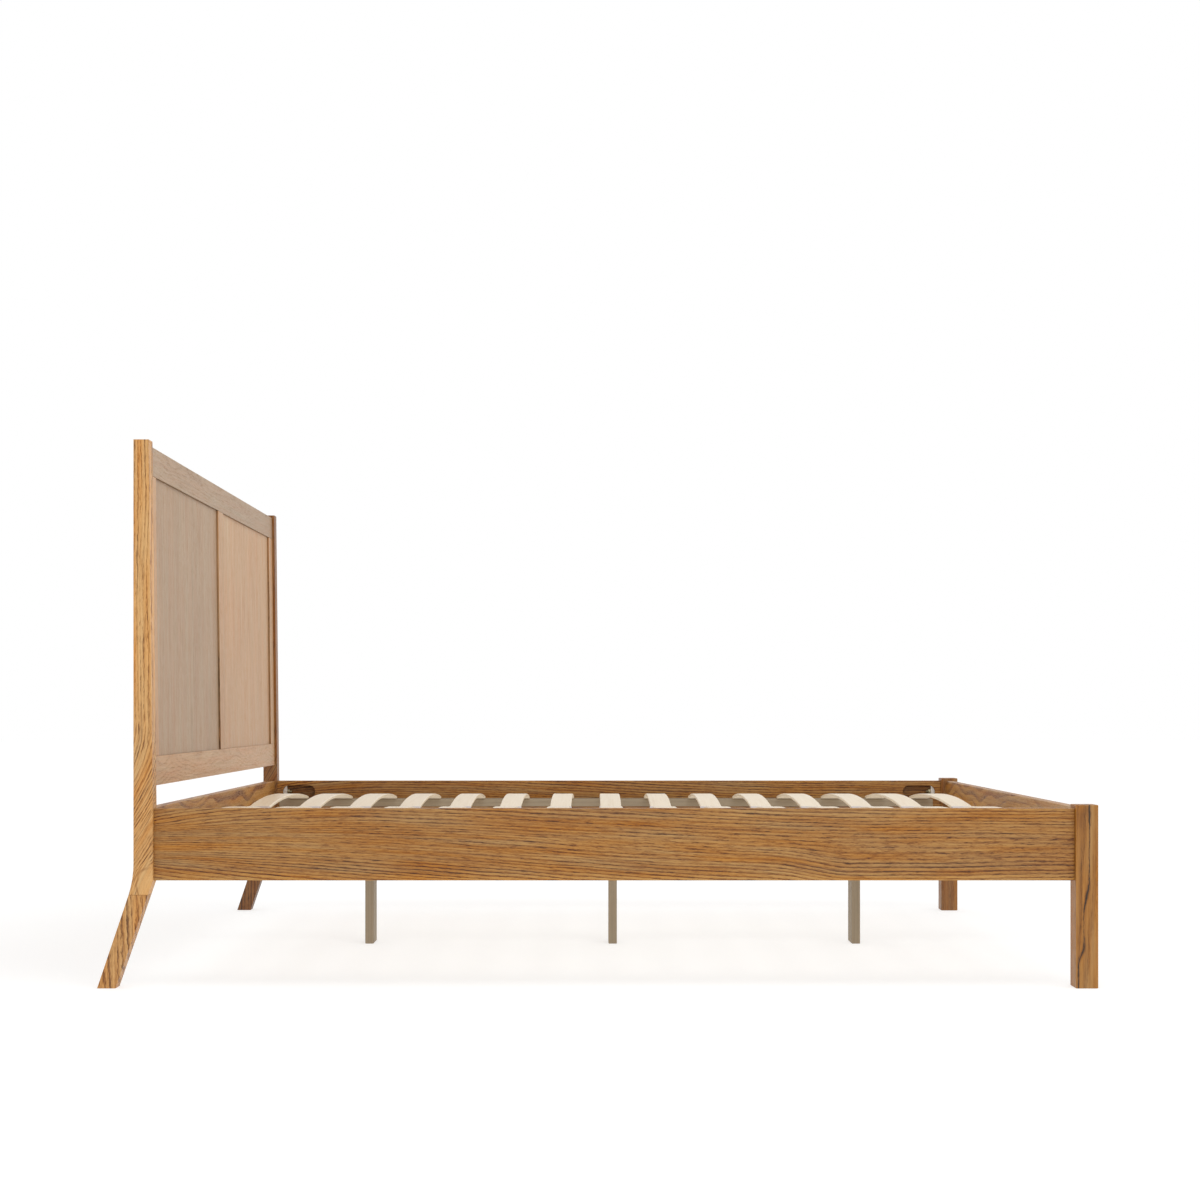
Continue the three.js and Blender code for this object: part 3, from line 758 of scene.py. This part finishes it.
def screw_head(name, seat, facing, size, material):
    """The head of a cross-recess screw on a surface, with the start of its shank below. Its
    profile is a list of (radius, height), where the radius None follows the cross."""
    proud, recess = size
    across = facing.orthogonal().normalized()
    up = facing.cross(across)
    profile = [
        (SCREW_SHANK, -SCREW_SUNK), (SCREW_SHANK, -SCREW_PRESS), (SCREW_HEAD, -SCREW_PRESS),
        (SCREW_HEAD, proud * 0.45), (SCREW_HEAD * 0.90, proud * 0.80), (SCREW_HEAD * 0.70, proud),
        (None, proud), (None, proud - recess),
    ]
    mesh = bmesh.new()
    rings = []
    for radius, height in profile:
        level = seat + facing * height
        ring = []
        for n in range(SCREW_SIDES):
            angle = tau * n / SCREW_SIDES
            off = abs((angle + pi / 4) % (pi / 2) - pi / 4)
            in_arm = sin(off) * CROSS_ARM <= cos(off) * CROSS_HALF_WIDTH
            cross = CROSS_ARM / cos(off) if in_arm else CROSS_HALF_WIDTH / sin(off)
            reach = cross if radius is None else radius
            point = level + across * reach * cos(angle) + up * reach * sin(angle)
            ring.append(mesh.verts.new(point))
        rings.append(ring)
    bridge(mesh, rings)
    return piece(name, mesh, material, "steel")


# ---- The pieces -------------------------------------------------------------------------------

# The right posts take the darker DEEP tones, partly as painted shade for the far side of the bed.
for side, post_tones, foot_tones, streaked, bold in (
    ("left", HONEY, AMBER, 1.0, 1.0), ("right", DEEP, DEEP, 0.0, 1.5),
):
    post = f"head_post_{side}"
    eased_board(post, post_oak(f"oak_{post}", post, post_tones), "oak")
    post = f"foot_post_{side}"
    eased_board(post, foot_oak(f"oak_{post}", post, foot_tones, streaked), "oak")
    rail = f"side_rail_{side}"
    eased_board(rail, rail_oak(f"oak_{rail}", rail, BROWN, bold), "oak")

for node in ("head_cross_rail", "foot_rail"):
    figure = oak(f"oak_{node}", node, "Y", BROWN, pith=(0.01, 0.05), spacing=CROSS_RAIL_RINGS,
                 wave=0.120, contrast=0.85, pore=0.8, bends=(3.2, 7.0, 7.0), ripple=0.4)
    eased_board(node, figure, "oak")

for node, tones in (("headboard_top_rail", GREY_TAN), ("headboard_bottom_rail", WARM_TAN)):
    figure = oak(f"oak_{node}", node, "Y", tones, pith=(0.03, 0.05), wave=0.070, contrast=0.35,
                 pore=0.25, bends=(3.0, 7.0, 7.0))
    eased_board(node, figure, "pale_oak", FINE_EDGE)

for node in ("headboard_stile_left", "headboard_centre_stile", "headboard_stile_right"):
    figure = oak(f"oak_{node}", node, "Z", WARM_TAN, pith=(0.02, 0.05), contrast=0.5, pore=0.6)
    eased_board(node, figure, "pale_oak", FINE_EDGE)

laminate = birch("birch_laminate")
holder_plastic = plastic("holder_plastic")
slat_numbers = sorted(name[-2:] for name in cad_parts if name.startswith("slat_left_"))
for number in slat_numbers:
    slat_piece(f"slat_left_{number}", laminate)
    slat_piece(f"slat_right_{number}", laminate)
    slat_holder(number, holder_plastic)

yellow_steel = metal("yellow_passivated_steel", YELLOW_STEEL, roughness=0.50, seed=20)
bright_zinc = metal("bright_zinc", ZINC, roughness=0.45, seed=30)
for end in ("head", "foot"):
    for side in ("left", "right"):
        threaded_rod(f"rail_stud_{end}_{side}", yellow_steel)
        eased_board(f"half_moon_washer_{end}_{side}", bright_zinc, "zinc", WASHER_EDGE)
        hex_nut(end, side, yellow_steel)

for side, tones in (("left", SHADED_TAN), ("right", WARM_TAN)):
    panel = f"headboard_panel_{side}"
    figure = oak(f"oak_{panel}", panel, "Z", tones, pith=(0.03, 0.02), spacing=PANEL_RINGS,
                 wave=0.080, contrast=0.3, pore=0.2)
    eased_board(panel, figure, "pale_oak", FINE_EDGE)
    ledger = f"slat_ledger_{side}"
    eased_board(ledger, plain_wood(f"wood_{ledger}", "X", SEEDS[ledger]), "plain_wood")

eased_board("centre_rail", plain_wood("wood_centre_rail", "X", SEEDS["centre_rail"]), "plain_wood")
rail_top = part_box("centre_rail")[1].z
for number in (1, 2, 3):
    leg = f"centre_leg_{number}"
    eased_board(leg, plain_wood(f"wood_{leg}", "Z", SEEDS[leg]), "plain_wood")
    low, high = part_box(leg)
    for screw, y in enumerate((-LEG_SCREW_Y, LEG_SCREW_Y), 1):
        seat = Vector(((low.x + high.x) / 2, y, rail_top))
        screw_head(f"{leg}_screw_{screw}", seat, Vector((0, 0, 1)), LEG_HEAD, yellow_steel)

for side, inward in (("left", 1), ("right", -1)):
    low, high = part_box(f"slat_ledger_{side}")
    inner_y = high.y if inward > 0 else low.y
    for number in range(LEDGER_SCREWS):
        along = (number - (LEDGER_SCREWS - 1) / 2) * LEDGER_SCREW_PITCH
        seat = Vector(((low.x + high.x) / 2 + along, inner_y, (low.z + high.z) / 2))
        facing = Vector((0, inward, 0))
        screw_head(f"ledger_screw_{side}_{number + 1}", seat, facing, LEDGER_HEAD, yellow_steel)

# ---- Floor, light and camera ------------------------------------------------------------------

FLOOR_SIZE = 60.0
FLOOR_GLOW = 0.62              # how much light of its own the floor gives
FLOOR_DROP = 0.0005            # the floor lies this far under the feet
FLOOR_RELIEF = 0.0001
FLOOR_ROUGHNESS = 0.9
WALL_TOP = 0.45                # the white walls fade from here up to the ceiling
CEILING = 0.95
ZENITH = 0.60                  # brightness of the ceiling, where the walls are 1
SOFTBOX_PLACE = (0.8, -1.6, 3.6)
SOFTBOX_TARGET = (0.0, 0.0, 0.3)
SOFTBOX_SIZE = 2.2
SOFTBOX_POWER = 40.0
CAMERA_PLACE = (-0.00455, -4.784, 0.6089)
CAMERA_LENS = 54.72
CAMERA_SHIFT = (0.0037, 0.0915)


def make_floor():
    """A pale floor that is bright enough to run into the walls without an edge."""
    surface = Surface("studio_floor")
    place = surface.place()
    mottle = surface.noise(place, (3.0, 3.0, 3.0), detail=3.0, seed=40)
    colour = (mottle + 0.5).ramp((0.0, srgb(178, 178, 177)), (1.0, srgb(182, 182, 182)))
    surface.shader.inputs["Emission Color"].default_value = (1.0, 1.0, 1.0, 1.0)
    surface.shader.inputs["Emission Strength"].default_value = FLOOR_GLOW
    mesh = bmesh.new()
    bmesh.ops.create_grid(mesh, x_segments=1, y_segments=1, size=FLOOR_SIZE / 2)
    data = bpy.data.meshes.new("studio_floor")
    mesh.to_mesh(data)
    mesh.free()
    data.materials.append(surface.finish(colour, FLOOR_ROUGHNESS, mottle, FLOOR_RELIEF))
    floor = bpy.data.objects.new("studio_floor", data)
    floor.location.z = cad_bounds[0].z - FLOOR_DROP
    bpy.context.scene.collection.objects.link(floor)


def make_daylight():
    """White walls all round, dimmer overhead."""
    world = bpy.data.worlds.new("studio")
    world.use_nodes = True
    tree = world.node_tree
    background = tree.nodes["Background"]
    coordinates = tree.nodes.new("ShaderNodeTexCoord")
    split = tree.nodes.new("ShaderNodeSeparateXYZ")
    tree.links.new(coordinates.outputs["Generated"], split.inputs[0])
    height = Field(tree, split.outputs[2])
    light = height.step(WALL_TOP, CEILING).ramp(
        (0.0, (1.0, 1.0, 1.0, 1.0)), (1.0, (ZENITH, ZENITH, ZENITH, 1.0))
    )
    plug(tree, light, background.inputs["Color"])
    bpy.context.scene.world = world


def make_softbox(name, place, target, size, power):
    """A round lamp that points at a target."""
    light = bpy.data.lights.new(name, "AREA")
    light.shape = "DISK"
    light.size = size
    light.energy = power
    softbox = bpy.data.objects.new(name, light)
    softbox.location = place
    softbox.rotation_euler = (Vector(target) - Vector(place)).to_track_quat("-Z", "Y").to_euler()
    bpy.context.scene.collection.objects.link(softbox)


def make_camera():
    """A level camera beside the bed, at the middle of its length."""
    camera = bpy.data.cameras.new("camera")
    camera.sensor_width = 36.0
    camera.lens = CAMERA_LENS
    camera.shift_x, camera.shift_y = CAMERA_SHIFT
    camera.clip_end = 100.0
    viewer = bpy.data.objects.new("camera", camera)
    viewer.location = CAMERA_PLACE
    viewer.rotation_euler = (radians(90), 0.0, 0.0)
    bpy.context.scene.collection.objects.link(viewer)
    bpy.context.scene.camera = viewer


make_floor()
make_daylight()
make_softbox("softbox_above", SOFTBOX_PLACE, SOFTBOX_TARGET, SOFTBOX_SIZE, SOFTBOX_POWER)
make_camera()
bpy.context.scene.view_settings.view_transform = "Standard"
